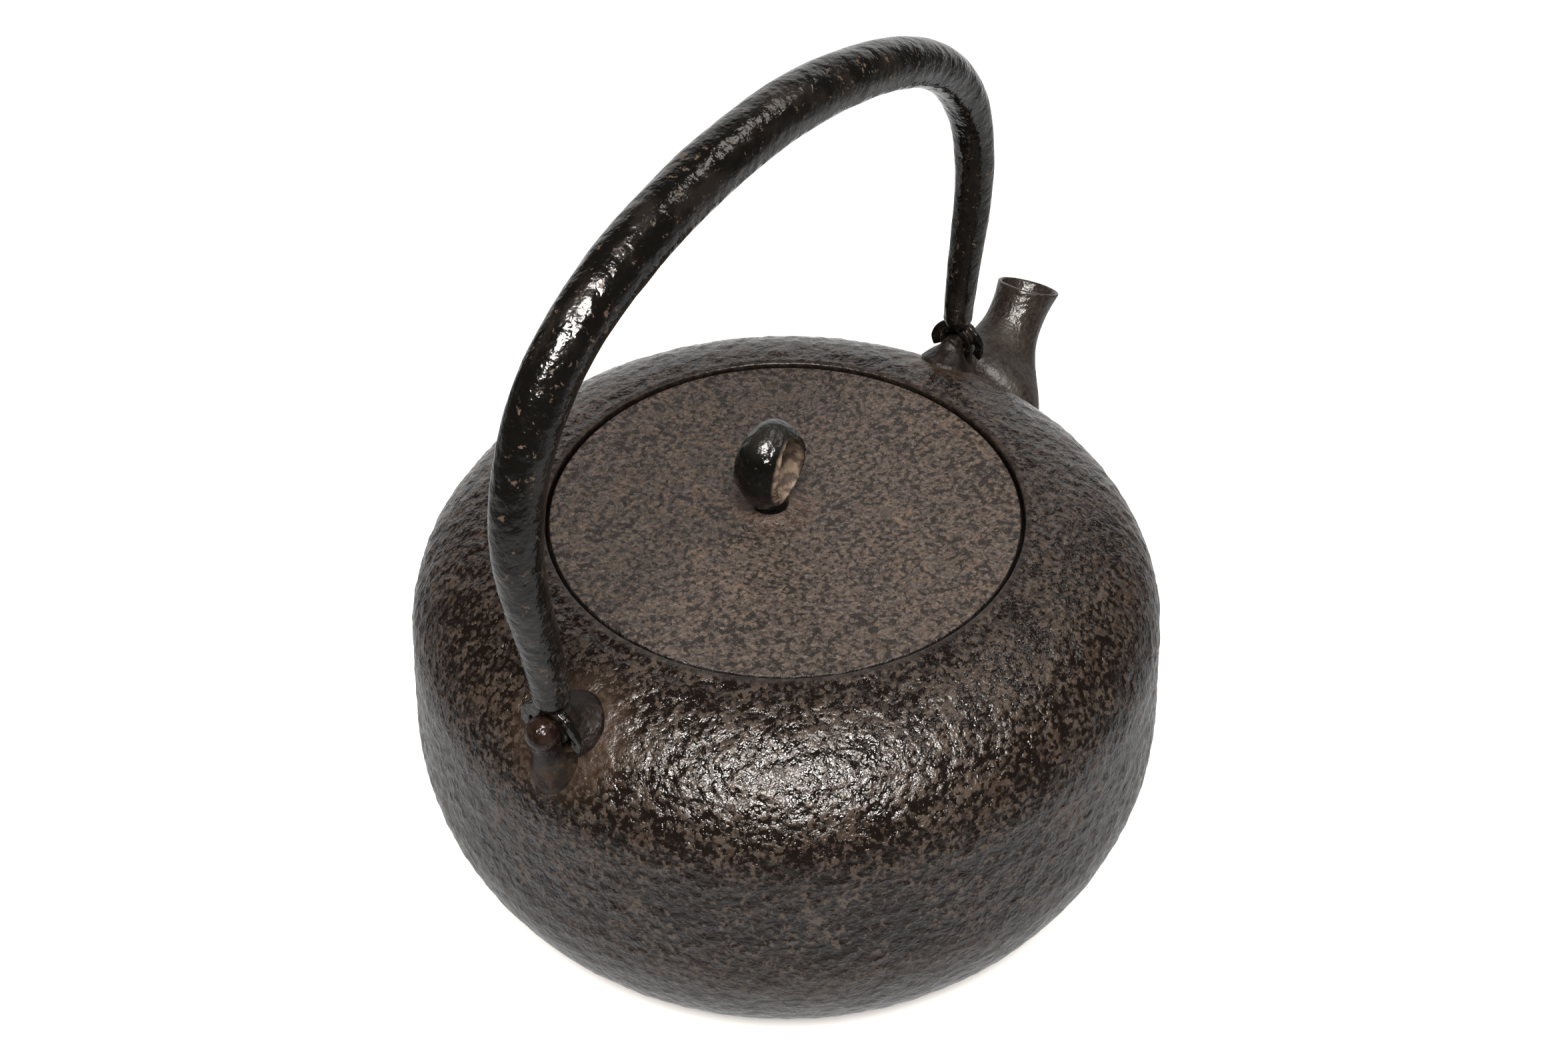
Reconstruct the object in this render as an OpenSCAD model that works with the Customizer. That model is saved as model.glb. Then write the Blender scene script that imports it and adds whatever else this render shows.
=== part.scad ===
// Cast iron kettle with a lift-off lid and a folding bail handle, in mm.
// The base is centred on the origin, +Z is up, the spout points along +X and
// the handle folds about an X axis through the two lugs.

/* [Body] */
// Widest diameter of the body
body_d = 180; // [172:1:188]
// Height of the lid rim above the base
rim_h = 89.5; // [87:0.5:92]
// Height of the widest point of the body
hip_h = 36; // [32:1:40]
// Wall thickness of the body
wall = 3.5; // [3:0.1:4]

/* [Mouth and lid] */
// Diameter of the recess that the lid lies in
recess_d = 107.6; // [104:0.2:109]
// Diameter of the hole that the water goes in by
mouth_d = 97; // [90:1:98]
// Thickness of the lid at its rim
lid_t = 3; // [2.6:0.1:3.4]
// Depth of the shallow dish in the top of the lid
lid_dish = 1.5; // [0.5:0.1:2]
// Depth of the ring under the lid that keeps it in place
skirt_h = 6; // [4:0.5:8]

/* [Knob] */
// Height of the knob above the lid
knob_h = 22; // [20:0.5:25]
// Width of the knob across its loop
knob_w = 18; // [15:0.5:20]
// Width of the band that makes the loop
knob_band = 11; // [9:0.5:13]

/* [Spout] */
// Outer radius of the spout at its mouth
spout_r = 8.6; // [8:0.1:9.5]
// Wall thickness of the spout
spout_wall = 2.2; // [1.8:0.1:2.6]
// Angle of the mouth plane's normal above level
mouth_angle = 67; // [60:1:75]

/* [Handle] */
// Radius of the handle at the grip
grip_r = 5.6; // [5:0.1:6.2]
// Radius of the handle where it meets its hooks
leg_r = 3.7; // [3.4:0.1:4]
// Wall thickness of the hollow handle
handle_wall = 1.1; // [0.9:0.1:1.4]
// Radius of the lug neck that the handle turns on
neck_r = 2.4; // [2.2:0.1:2.6]

/* [Hidden] */

fit_gap = 0.05;               // running clearance and the lid's seating gap
free_gap = 0.3;               // gap between pieces that only pass each other
eps = 0.01;
round_fn = 96;
small_fn = 48;

// Body: hip ellipse, leaning straight wall, shoulder ellipse. The ellipses stop
// at angles where their tangents lean alike, so that the wall between is straight.
body_r = body_d / 2;
hip_round = 28.5;             // how far the hip curves out from the flat base
hip_end = 9;
shoulder_start = 5.5;
shoulder_r = 54;              // radius at which the shoulder comes level
shoulder_x = body_r - 57.15;  // half-axes of the shoulder's ellipse
shoulder_z = 26.5;
inner_shoulder_end = 72;      // where the inner wall meets the ledge
base_t = 4;
recess_r = recess_d / 2;
mouth_r = mouth_d / 2;
lid_sink = 0.7;               // how far the lid's edge lies below the body's rim
ledge_h = rim_h - lid_sink - lid_t - fit_gap;
ledge_t = 3.2;

// Lid
lid_r = recess_r - 0.8;
lid_edge_h = rim_h - lid_sink;
lid_bevel = 0.8;
skirt_r = mouth_r - 0.6;
skirt_t = 3;
boss_r = 7;
boss_h = 1;
boss_bed = 0.5;
lid_mid_h = lid_edge_h - lid_dish;  // top of the lid at its centre
lid_under_h = lid_mid_h - lid_t;

// Knob
knob_x = -1.3;
knob_y = 3;
knob_turn = 8;                // how far the loop is turned from square
knob_foot_h = lid_mid_h + boss_h;
foot_r = 4.4;
foot_h = 2.2;
loop_w = 0.62;                // the hole's size and floor, as shares of the knob's
loop_h = 0.65;
loop_floor = 0.22;
stem_r = 2.5;
washer_r = 6;
washer_t = 1.2;
rivet_h = 1.8;                // hammered end of the stem
rivet_r = 4.2;

// Spout centreline [x, z] and radius, as four control values each
spout_path = [[body_r - 10, rim_h - 35.5], [body_r + 12, rim_h - 18],
              [body_r + 12.5, rim_h - 25], [body_r + 29.7, rim_h - 6.2]];
spout_radii = [22, 22, 3.8, spout_r];
root_squash = 0.72;           // height of the root over its width
root_angle = 8;               // tilt of the first section, against the wall
throat_r = 12;                // hole through the body wall into the spout
throat_l = 26;
throat_rise = 35;
throat_at = [body_r - 20, 0, rim_h - 39.5];

// Handle: one rounded arch about a centre on the Z axis
arch_h = rim_h + 9.7;
arch_r = [body_r - 3.3, -1.23, -5.78, -1.56];  // mean radius, then its cos 2a, 4a and 6a terms
leg_x = arch_r[0] + arch_r[1] + arch_r[2] + arch_r[3];
swell = 0.8;                  // how early the leg swells to the grip

// Hinge at the lugs, measured outwards from the Z axis
pivot_h = rim_h - 0.5;
eye_r = 4.4;
eye_in_x = body_r - 12.8;
eye_out_x = body_r - 10.1;
neck_bed = 2.5;               // how far the neck runs into the lug on either side

// Crescent wings of the hook, which clear the shoulder when the handle is folded
wing_in_x = body_r - 11.4;
wing_r = 7.8;
wing_low = 2.4;               // centre of the wing's curve below the hinge axis
wing_drop = 4.4;              // how far the tips hang below the hinge axis
wing_slot = 0.8;              // gap between a wing's tip and the eye
wing_bed = 1;                 // how far the wings run into the eye above it
wing_reach = pivot_h - shoulder_top(wing_in_x) - free_gap;

// Shank of the hook and the tang that it holds the handle by
shank_foot_r = 1.5;
shank_foot_h = 4.3;           // both heights from the hinge axis
shank_h = 6.7;
tang_l = 9;
tang_gap = 1;

// Lug: a cone leaning out of the shoulder, and a limb with a round knuckle
cone_at = [body_r - 20, 0, rim_h - 11.5];
cone_lean = 32;
cone_l = 13.5;
cone_r = 8.6;
cone_tip_r = 2.9;
knuckle_r = 3.6;
knuckle_x = body_r - 8.4;
limb_l = 14;
limb_lean = 10;
far = 60;                     // beyond any lug or hook

function shoulder_top(x) =
  rim_h - shoulder_z + shoulder_z * sqrt(1 - pow((x - shoulder_r) / shoulder_x, 2));

function ellipse_arc(cx, cz, rx, rz, from, to, n) =
  [for (i = [0 : n]) let (a = from + (to - from) * i / n) [cx + rx * cos(a), cz + rz * sin(a)]];

function body_curve(inset, floor_t, last_angle) = concat(
  ellipse_arc(body_r - hip_round, hip_h, hip_round - inset, hip_h - floor_t, -90, hip_end, 18),
  ellipse_arc(shoulder_r, rim_h - shoulder_z, shoulder_x - inset, shoulder_z - inset,
              shoulder_start, last_angle, 18));

function reversed(v) = [for (i = [len(v) - 1 : -1 : 0]) v[i]];

function bezier(p, t) =
  pow(1 - t, 3) * p[0] + 3 * pow(1 - t, 2) * t * p[1] + 3 * (1 - t) * t * t * p[2]
  + pow(t, 3) * p[3];

// Closed skin through rings of equal point count, capped at both ends
module skin(rings) {
  n = len(rings[0]);
  last = len(rings) - 1;
  points = [for (ring = rings) for (p = ring) p];
  sides = [for (i = [0 : last - 1]) for (j = [0 : n - 1])
    [i * n + j, i * n + (j + 1) % n, (i + 1) * n + (j + 1) % n, (i + 1) * n + j]];
  start_cap = [for (j = [n - 1 : -1 : 0]) j];
  end_cap = [for (j = [0 : n - 1]) last * n + j];
  polyhedron(points, concat(sides, [start_cap, end_cap]));
}

// The body's outer form, which the spout and lugs are cut to
module body_form() {
  rotate_extrude($fn = round_fn)
    polygon(concat([[0, 0]], body_curve(0, 0, 90), [[0, rim_h]]));
}

module body_shell() {
  rotate_extrude($fn = round_fn)
    polygon(concat(
      [[0, 0]],
      body_curve(0, 0, 90),
      [[recess_r, rim_h], [recess_r, ledge_h], [mouth_r, ledge_h], [mouth_r, ledge_h - ledge_t]],
      reversed(body_curve(wall, base_t, inner_shoulder_end)),
      [[0, base_t]]));
}

module throat() {
  translate(throat_at)
    rotate([0, 90 - throat_rise, 0])
      cylinder(h = throat_l, r = throat_r, $fn = small_fn);
}

module kettle_body() {
  color("dimgray")
    difference() {
      body_shell();
      throat();
    }
}

// Section planes turn evenly from the body wall to the mouth plane
function spout_ring(t, inset, n) =
  let (c = bezier(spout_path, t), r = bezier(spout_radii, t) - inset,
       a = root_angle + (mouth_angle - root_angle) * t,
       k = min(1, root_squash + (1 - root_squash) * 2 * t))
  [for (j = [0 : n - 1]) let (b = 360 * j / n, up = k * r * cos(b))
    [c[0] - up * sin(a), r * sin(b), c[1] + up * cos(a)]];

module spout_tube(inset, from, to) {
  steps = 20;
  skin([for (i = [0 : steps]) spout_ring(from + (to - from) * i / steps, inset, 32)]);
}

module spout() {
  past_end = 0.02;
  color("slategray")
    difference() {
      spout_tube(0, 0, 1);
      spout_tube(spout_wall, -past_end, 1 + past_end);
      body_form();
    }
}

// Broad cone inside the hinge, cut off where the hook's eye runs
module lug_root() {
  intersection() {
    translate(cone_at)
      rotate([0, cone_lean, 0])
        cylinder(h = cone_l, r1 = cone_r, r2 = cone_tip_r, $fn = small_fn);
    translate([eye_in_x - free_gap - far, -far, 0])
      cube([far, 2 * far, 2 * far]);
  }
}

// Round knuckle outside the hinge, on a limb that stands on the shoulder
module lug_outer() {
  intersection() {
    translate([knuckle_x, 0, pivot_h])
      rotate([0, limb_lean, 0]) {
        sphere(r = knuckle_r, $fn = small_fn);
        translate([0, 0, -limb_l])
          cylinder(h = limb_l, r = knuckle_r - eps, $fn = small_fn);
      }
    translate([eye_out_x + free_gap, -far, 0])
      cube([far, 2 * far, 2 * far]);
  }
}

module lug() {
  difference() {
    union() {
      lug_root();
      lug_outer();
      translate([eye_in_x - neck_bed, 0, pivot_h])
        rotate([0, 90, 0])
          cylinder(h = eye_out_x - eye_in_x + 2 * neck_bed, r = neck_r, $fn = small_fn);
    }
    body_form();
  }
}

module front_lug() {
  color("sienna")
    lug();
}

module rear_lug() {
  color("sienna")
    mirror([1, 0, 0])
      lug();
}

// Lid top and underside follow the same shallow dish
function dish(mid_h, r_to, n) =
  [for (i = [0 : n]) let (r = r_to * i / n) [r, mid_h + lid_dish * pow(r / lid_r, 2)]];

module lid_disc() {
  skirt_low_h = ledge_h - skirt_h;
  rotate_extrude($fn = round_fn)
    polygon(concat(
      dish(lid_mid_h, lid_r - lid_bevel, 10),
      [[lid_r, lid_edge_h - lid_bevel], [lid_r, lid_edge_h - lid_t],
       [skirt_r, lid_edge_h - lid_t], [skirt_r, skirt_low_h],
       [skirt_r - skirt_t + lid_bevel, skirt_low_h]],
      reversed(dish(lid_under_h, skirt_r - skirt_t, 8))));
}

module lid() {
  color("rosybrown")
    difference() {
      union() {
        lid_disc();
        translate([knob_x, knob_y, lid_mid_h - boss_bed])
          cylinder(h = boss_h + boss_bed, r1 = boss_r, r2 = boss_r - 2, $fn = small_fn);
      }
      translate([knob_x, knob_y, 0])
        cylinder(h = rim_h + boss_h, r = stem_r, $fn = small_fn);
    }
}

// Half outline of an egg that is widest above its middle
function egg(h, w, n) =
  [for (i = [0 : n]) let (a = -90 + 180 * i / n)
    [w / 2 * cos(a) * (1 + 0.06 * sin(a)), h / 2 * (1 + sin(a))]];

module egg_outline(h, w) {
  half = egg(h, w, 20);
  polygon(concat(half, [for (p = reversed(half)) [-p[0], p[1]]]));
}

module knob_loop() {
  difference() {
    intersection() {
      rotate_extrude($fn = small_fn)
        polygon(egg(knob_h, knob_w, 20));
      translate([-knob_w, -knob_band / 2, 0])
        cube([2 * knob_w, knob_band, knob_h]);
    }
    translate([0, knob_band, knob_h * loop_floor])
      rotate([90, 0, 0])
        linear_extrude(2 * knob_band)
          egg_outline(knob_h * loop_h, knob_w * loop_w);
  }
}

// Foot, and a stem through the lid with its end hammered over the washer
module knob_stem() {
  end_h = lid_under_h - washer_t - rivet_h - knob_foot_h;
  cylinder(h = foot_h, r1 = foot_r, r2 = foot_r - 0.6, $fn = small_fn);
  translate([0, 0, end_h])
    cylinder(h = foot_h - end_h, r = stem_r, $fn = small_fn);
  translate([0, 0, end_h])
    cylinder(h = rivet_h, r1 = stem_r, r2 = rivet_r, $fn = small_fn);
}

module knob() {
  color("goldenrod")
    translate([knob_x, knob_y, knob_foot_h])
      rotate([0, 0, knob_turn]) {
        knob_loop();
        knob_stem();
      }
}

module knob_washer() {
  color("silver")
    translate([knob_x, knob_y, lid_under_h - washer_t])
      difference() {
        cylinder(h = washer_t, r = washer_r, $fn = small_fn);
        translate([0, 0, -1])
          cylinder(h = washer_t + 2, r = stem_r, $fn = small_fn);
      }
}

// Centre of the handle at angle a round the arch, 0 on the spout side
function arch(a) =
  let (r = arch_r[0] + arch_r[1] * cos(2 * a) + arch_r[2] * cos(4 * a) + arch_r[3] * cos(6 * a))
  [r * cos(a), arch_h + r * sin(a)];

function arch_tangent(a) =
  let (d = arch(a + 1) - arch(a - 1))
  d / norm(d);

// Square across the arch, and upright where the legs end
function handle_ring(a, inset, n) =
  let (p = arch(a), u = arch_tangent(a),
       r = leg_r + (grip_r - leg_r) * pow(max(0, sin(a)), swell) - inset)
  [for (j = [0 : n - 1]) let (b = -360 * j / n)
    [p[0] + r * cos(b) * u[1], r * sin(b), p[1] - r * cos(b) * u[0]]];

module handle_tube(inset, n) {
  steps = 48;
  skin([for (i = [0 : steps]) handle_ring(180 * i / steps, inset, n)]);
}

module handle_shell() {
  color("darkslategray")
    difference() {
      handle_tube(0, 24);
      handle_tube(handle_wall, 16);
      for (side = [-1, 1])
        translate([side * leg_x, 0, arch_h - 1])
          cylinder(h = tang_l + 1, r = leg_r - handle_wall, $fn = small_fn);
    }
}

// Crescent round the eye, flat in the plane across the hinge axis
module crescent_outline() {
  difference() {
    intersection() {
      translate([0, -wing_low])
        circle(r = wing_r, $fn = small_fn);
      circle(r = wing_reach, $fn = small_fn);
      translate([-wing_r, -wing_drop])
        square([2 * wing_r, 2 * wing_r]);
    }
    circle(r = eye_r - wing_bed, $fn = small_fn);
    intersection() {
      circle(r = eye_r + wing_slot, $fn = small_fn);
      translate([-wing_r, -2 * wing_r])
        square(2 * wing_r);
    }
  }
}

module across_hinge(x, t) {
  translate([x, 0, pivot_h])
    rotate([90, 0, 90])
      linear_extrude(t)
        children();
}

// Foot of the handle's leg, from the eye up to the tang inside the shell
module shank() {
  translate([leg_x, 0, pivot_h + shank_foot_h])
    cylinder(h = shank_h - shank_foot_h, r1 = shank_foot_r, r2 = leg_r, $fn = small_fn);
  translate([leg_x, 0, pivot_h + shank_h])
    cylinder(h = arch_h - pivot_h - shank_h, r = leg_r, $fn = small_fn);
  translate([leg_x, 0, arch_h - eps])
    cylinder(h = tang_l - tang_gap, r = leg_r - handle_wall - fit_gap, $fn = small_fn);
}

module hook() {
  difference() {
    union() {
      across_hinge(wing_in_x, eye_out_x - wing_in_x)
        crescent_outline();
      across_hinge(eye_in_x, eye_out_x - eye_in_x)
        circle(r = eye_r, $fn = small_fn);
      shank();
    }
    across_hinge(eye_in_x - 1, eye_out_x - eye_in_x + 2)
      circle(r = neck_r + fit_gap, $fn = small_fn);
  }
}

module front_hook() {
  color("steelblue")
    hook();
}

module rear_hook() {
  color("steelblue")
    mirror([1, 0, 0])
      hook();
}

kettle_body();
spout();
front_lug();
rear_lug();
lid();
knob();
knob_washer();
handle_shell();
front_hook();
rear_hook();
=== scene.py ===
import math

import bpy
import numpy as np
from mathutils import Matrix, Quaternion, Vector, noise


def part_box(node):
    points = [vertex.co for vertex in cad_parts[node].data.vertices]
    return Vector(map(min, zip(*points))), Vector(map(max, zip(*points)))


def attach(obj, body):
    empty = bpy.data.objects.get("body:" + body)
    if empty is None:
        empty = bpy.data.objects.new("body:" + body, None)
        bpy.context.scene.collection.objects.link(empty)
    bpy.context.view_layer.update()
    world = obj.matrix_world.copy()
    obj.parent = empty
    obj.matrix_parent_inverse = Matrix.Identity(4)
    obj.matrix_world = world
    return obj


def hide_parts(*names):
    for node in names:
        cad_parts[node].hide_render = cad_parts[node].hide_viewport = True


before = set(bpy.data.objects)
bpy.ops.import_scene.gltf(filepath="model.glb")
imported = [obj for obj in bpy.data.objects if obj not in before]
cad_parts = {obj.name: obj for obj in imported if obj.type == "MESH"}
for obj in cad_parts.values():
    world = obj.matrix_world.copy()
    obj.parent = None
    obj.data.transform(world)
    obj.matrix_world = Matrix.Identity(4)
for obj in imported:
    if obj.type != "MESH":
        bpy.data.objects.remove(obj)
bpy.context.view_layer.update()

MM = 0.001


def box_mm(node):
    """Lowest and highest corner of a CAD node, in millimetres."""
    low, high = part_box(node)
    return np.array(low) / MM, np.array(high) / MM


body_r, _, rim_h = box_mm("kettle_body")[1]
arch_h = box_mm("handle_shell")[0][2]       # where the handle's tube meets the hooks
lid_low, lid_high = box_mm("lid")
knob_low, knob_high = box_mm("knob")
washer_low, washer_high = box_mm("knob_washer")

lid_r = (lid_high[0] - lid_low[0]) / 2
lid_edge_h = rim_h - 0.7                    # the lid's edge lies a little below the rim
recess_r = lid_r + 0.8                      # the body's recess leaves a seam round the lid
pivot_h = rim_h - 0.5                       # height of the handle's hinge axis
knob_at = (knob_low + knob_high) / 2
spout_root = (body_r + 4, 0, rim_h - 24)    # the body's skin is plainer round here

# The hinge on the spout side, along X. The other side is its mirror image.
EYE_IN = body_r - 12.8                      # faces of the hook's eye
EYE_OUT = body_r - 10.1
WING_IN = body_r - 11.4                     # the crescent wings are thinner than the eye
WING_REACH = 7.85
RUN_GAP = 0.35                              # clearance between the lug and the turning hook
NECK_R = 2.3                                # the lug's pin, on which the eye turns


# ---------------------------------------------------------------- curves and grids

def ellipse_arc(centre, radii, start, end, count):
    """Points on an ellipse between two angles in degrees."""
    turn = np.radians(np.linspace(start, end, count))
    return np.stack([centre[0] + radii[0] * np.cos(turn), centre[1] + radii[1] * np.sin(turn)], 1)


def resample(points, spacing):
    """The same line with evenly spaced points."""
    points = np.asarray(points, float)
    steps = np.linalg.norm(np.diff(points, axis=0), axis=1)
    along = np.concatenate([[0], np.cumsum(steps)])
    count = max(2, int(round(along[-1] / spacing)) + 1)
    at = np.linspace(0, along[-1], count)
    return np.stack([np.interp(at, along, column) for column in points.T], 1)


def smooth_step(value, low, high):
    """0 below low, 1 above high, smooth between them."""
    share = np.clip((value - low) / (high - low), 0, 1)
    return share * share * (3 - 2 * share)


def lathe(profile, segments, centre=(0, 0)):
    """Vertices and faces of a profile of (radius, height) turned about a vertical axis.
    A profile that starts or ends on the axis is closed there by a fan."""
    profile = np.asarray(profile, float)
    poles = [profile[0, 0] < 1e-6, profile[-1, 0] < 1e-6]
    rows = profile[int(poles[0]):len(profile) - int(poles[1])]
    turn = np.linspace(0, 2 * math.pi, segments, endpoint=False)
    x = centre[0] + np.outer(rows[:, 0], np.cos(turn))
    y = centre[1] + np.outer(rows[:, 0], np.sin(turn))
    z = np.repeat(rows[:, 1:], segments, axis=1)
    points = np.stack([x, y, z], 2).reshape(-1, 3)
    faces = grid_faces(len(rows), segments)
    for is_pole, height, row, flip in ((poles[0], profile[0, 1], 0, True),
                                       (poles[1], profile[-1, 1], len(rows) - 1, False)):
        if is_pole:
            tip = len(points)
            points = np.vstack([points, [[centre[0], centre[1], height]]])
            ring = row * segments + np.arange(segments)
            fan = np.stack([ring, np.roll(ring, -1), np.full(segments, tip)], 1)
            faces += (fan[:, ::-1] if flip else fan).tolist()
    return points, faces


def grid_faces(rows, columns, wrap_rows=False):
    """Quads between rings of equal point count; each ring is closed."""
    last = rows if wrap_rows else rows - 1
    faces = []
    for row in range(last):
        here = row * columns + np.arange(columns)
        there = (row + 1) % rows * columns + np.arange(columns)
        quads = np.stack([here, np.roll(here, -1), np.roll(there, -1), there], 1)
        faces += quads.tolist()
    return faces


# ---------------------------------------------------------------- meshes and pieces

def make_object(name, points, faces):
    """An object in the scene from points in millimetres."""
    mesh = bpy.data.meshes.new(name)
    mesh.from_pydata((np.asarray(points) * MM).tolist(), [], faces)
    mesh.validate()
    mesh.shade_smooth()
    made = bpy.data.objects.new(name, mesh)
    bpy.context.scene.collection.objects.link(made)
    return made


def points_of(obj):
    """An object's vertices in millimetres."""
    flat = np.empty(len(obj.data.vertices) * 3)
    obj.data.vertices.foreach_get("co", flat)
    return flat.reshape(-1, 3) / MM


def normals_of(obj):
    flat = np.empty(len(obj.data.vertices) * 3)
    obj.data.vertex_normals.foreach_get("vector", flat)
    return flat.reshape(-1, 3)


def move_points(obj, points):
    obj.data.vertices.foreach_set("co", (points * MM).ravel())
    obj.data.update()


def push_out(obj, amount):
    """Moves each vertex along its normal by its amount in millimetres."""
    move_points(obj, points_of(obj) + normals_of(obj) * np.asarray(amount)[:, None])


def bake_modifiers(obj):
    """Puts what the modifiers make into the object's own mesh."""
    graph = bpy.context.evaluated_depsgraph_get()
    mesh = bpy.data.meshes.new_from_object(obj.evaluated_get(graph))
    obj.modifiers.clear()
    obj.data = mesh
    mesh.shade_smooth()


def forge(name, parts, voxel, rounds):
    """One smooth closed skin round overlapping closed parts, each given as points and faces."""
    points = np.vstack([part[0] for part in parts])
    faces = []
    start = 0
    for part_points, part_faces in parts:
        faces += [[start + i for i in face] for face in part_faces]
        start += len(part_points)
    obj = make_object(name, points, faces)
    remesh = obj.modifiers.new("skin", "REMESH")
    remesh.mode = "VOXEL"
    remesh.voxel_size = voxel * MM
    soften = obj.modifiers.new("soften", "SMOOTH")
    soften.factor = 0.5
    soften.iterations = rounds
    bake_modifiers(obj)
    return obj


def tilt_y(degrees):
    """Rotation about Y that leans +Z towards +X."""
    cos, sin = math.cos(math.radians(degrees)), math.sin(math.radians(degrees))
    return np.array([[cos, 0, sin], [0, 1, 0], [-sin, 0, cos]])


def spin_z(degrees):
    """Rotation about Z that takes +X towards +Y."""
    cos, sin = math.cos(math.radians(degrees)), math.sin(math.radians(degrees))
    return np.array([[cos, -sin, 0], [sin, cos, 0], [0, 0, 1]])


def carve(obj, points, faces):
    """Takes a closed shape, in millimetres, out of the object."""
    cutter = make_object("cutter", points, faces)
    cut = obj.modifiers.new("carve", "BOOLEAN")
    cut.object = cutter
    cut.solver = "MANIFOLD"
    bpy.context.view_layer.update()
    bake_modifiers(obj)
    bpy.data.objects.remove(cutter)


def fractal(points, size, octaves=3, offset=0.0):
    """Smooth noise of about -1 to 1 whose largest lumps are size millimetres wide."""
    shift = Vector((offset, offset, offset))
    return np.array([noise.fractal(Vector(p) / size + shift, 1.0, 2.0, octaves) for p in points])


def hand_over(obj, body, nodes, material):
    """Gives a finished piece its material and body, and hides the CAD nodes it stands for."""
    obj.data.materials.clear()
    obj.data.materials.append(material)
    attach(obj, body)
    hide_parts(*nodes)


# ---------------------------------------------------------------- material nodes

class Paint:
    """A Principled material and short calls for the nodes that drive it. Sizes are in millimetres."""

    def __init__(self, name, **sockets):
        self.material = bpy.data.materials.new(name)
        self.material.use_nodes = True
        self.tree = self.material.node_tree
        self.shader = self.tree.nodes["Principled BSDF"]
        self.place = self.tree.nodes.new("ShaderNodeTexCoord").outputs["Object"]
        for socket, value in sockets.items():
            self.shader.inputs[socket.replace("_", " ")].default_value = value

    def node(self, kind, inputs=(), **settings):
        made = self.tree.nodes.new("ShaderNode" + kind)
        for key, value in settings.items():
            setattr(made, key, value)
        for socket, value in inputs:
            self.feed(made.inputs[socket], value)
        return made

    def feed(self, socket, value):
        if isinstance(value, bpy.types.NodeSocket):
            self.tree.links.new(value, socket)
        else:
            socket.default_value = value

    def lumps(self, size, detail=2.0, rough=0.5, place=None):
        """Noise from 0 to 1 with lumps of that size."""
        sockets = [("Vector", place or self.place), ("Scale", 1 / (size * MM)), ("Detail", detail),
                   ("Roughness", rough)]
        return self.node("TexNoise", sockets).outputs[0]

    def cells(self, size, feature="F1"):
        """Distance to the middle of the nearest cell, as a share of its size."""
        sockets = [("Vector", self.place), ("Scale", 1 / (size * MM))]
        return self.node("TexVoronoi", sockets, feature=feature).outputs["Distance"]

    def creases(self, size, width):
        """0 along thin wandering lines, 1 away from them."""
        wander = self.lumps(size, detail=3, rough=0.55)
        gap = self.maths("ABSOLUTE", self.minus(wander, 0.5))
        return self.fade(gap, 0, width)

    def stretched(self, x, y, z):
        """The place, scaled along each axis, for streaks."""
        return self.node("Mapping", [("Vector", self.place), ("Scale", (x, y, z))]).outputs[0]

    def maths(self, operation, *values):
        return self.node("Math", enumerate(values), operation=operation).outputs[0]

    def plus(self, a, b):
        return self.maths("ADD", a, b)

    def minus(self, a, b):
        return self.maths("SUBTRACT", a, b)

    def times(self, a, b):
        return self.maths("MULTIPLY", a, b)

    def larger(self, a, b):
        return self.maths("MAXIMUM", a, b)

    def fade(self, value, low, high, to_low=0.0, to_high=1.0):
        """Value from low to high becomes to_low to to_high, smoothly and clamped."""
        sockets = [("Value", value), ("From Min", low), ("From Max", high),
                   ("To Min", to_low), ("To Max", to_high)]
        made = self.node("MapRange", sockets, interpolation_type="SMOOTHSTEP")
        return made.outputs["Result"]

    def fade_mm(self, length, low, high, to_low=0.0, to_high=1.0):
        """The same for a length in the scene, with low and high in millimetres."""
        return self.fade(length, low * MM, high * MM, to_low, to_high)

    def near(self, point, inner, outer):
        """1 within inner millimetres of a point, 0 beyond outer."""
        at = tuple(np.array(point) * MM)
        gap = self.node("VectorMath", [(0, self.place), (1, at)], operation="DISTANCE")
        return self.fade_mm(gap.outputs["Value"], inner, outer, 1.0, 0.0)

    def within(self, point, radii):
        """1 inside an ellipsoid, 0 just outside it."""
        at = tuple(np.array(point) * MM)
        offset = self.node("VectorMath", [(0, self.place), (1, at)], operation="SUBTRACT")
        shares = tuple(1 / (radius * MM) for radius in radii)
        scaled = self.node("VectorMath", [(0, offset.outputs[0]), (1, shares)], operation="MULTIPLY")
        length = self.node("VectorMath", [(0, scaled.outputs[0])], operation="LENGTH")
        return self.fade(length.outputs["Value"], 1.0, 1.1, 1.0, 0.0)

    def axis_radius(self):
        """Distance from the Z axis."""
        flat = self.node("VectorMath", [(0, self.place), (1, (1, 1, 0))], operation="MULTIPLY")
        length = self.node("VectorMath", [(0, flat.outputs[0])], operation="LENGTH")
        return length.outputs["Value"]

    def height(self):
        return self.node("SeparateXYZ", [(0, self.place)]).outputs["Z"]

    def blend(self, factor, a, b):
        """Colour a where factor is 0, colour b where it is 1."""
        made = self.node("Mix", data_type="RGBA")
        self.feed(made.inputs[0], factor)
        self.feed(made.inputs[6], a if isinstance(a, bpy.types.NodeSocket) else (*a, 1))
        self.feed(made.inputs[7], b if isinstance(b, bpy.types.NodeSocket) else (*b, 1))
        return made.outputs[2]

    def pick(self, factor, a, b):
        """Number a where factor is 0, number b where it is 1."""
        made = self.node("Mix", data_type="FLOAT")
        self.feed(made.inputs[0], factor)
        self.feed(made.inputs[2], a)
        self.feed(made.inputs[3], b)
        return made.outputs[0]

    def bump(self, height, depth, under=None):
        """A bump of that depth in millimetres, over an earlier one."""
        sockets = [("Height", height), ("Distance", depth * MM), ("Strength", 1.0)]
        made = self.node("Bump", sockets)
        if under:
            self.feed(made.inputs["Normal"], under)
        return made.outputs[0]

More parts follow.
